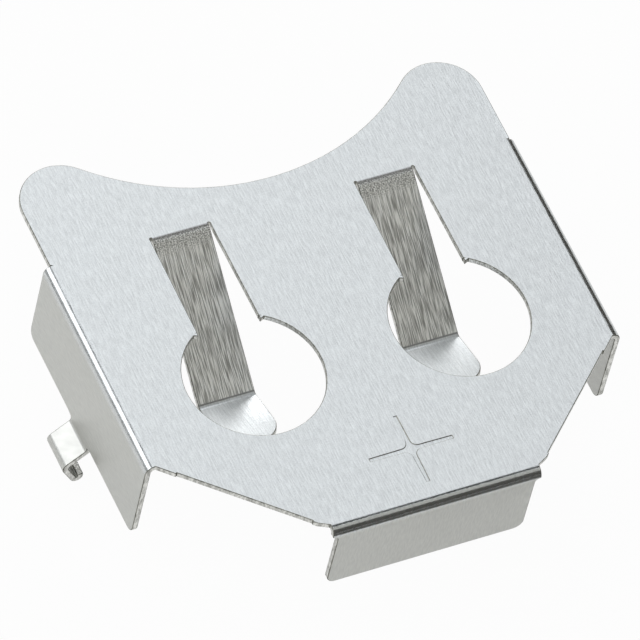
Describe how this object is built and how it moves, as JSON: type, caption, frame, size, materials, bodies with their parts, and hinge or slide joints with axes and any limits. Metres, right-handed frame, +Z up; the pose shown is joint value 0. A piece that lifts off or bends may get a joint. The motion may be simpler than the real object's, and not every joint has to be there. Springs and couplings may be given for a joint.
{
  "type": "coin cell holder",
  "caption": "Surface-mount coin cell holder folded from one spring sheet, with side walls, a stop wall, solder leads, and spring fingers that press the cell down.",
  "frame": {"origin": "middle of the bounding box at its base, in the plane of the solder feet, which is the top of the board", "axes": "+Z up from the board through the flat top, +Y towards the mouth where the cell slides in (the stop wall is at -Y), +X across the two side walls"},
  "size_m": [0.0278, 0.0242, 0.0084],
  "materials": {
    "plated_sheet": "bright nickel plate over a finely brushed spring sheet"
  },
  "bodies": {
    "root": {"retainer": "plated_sheet"}
  },
  "joints": []
}
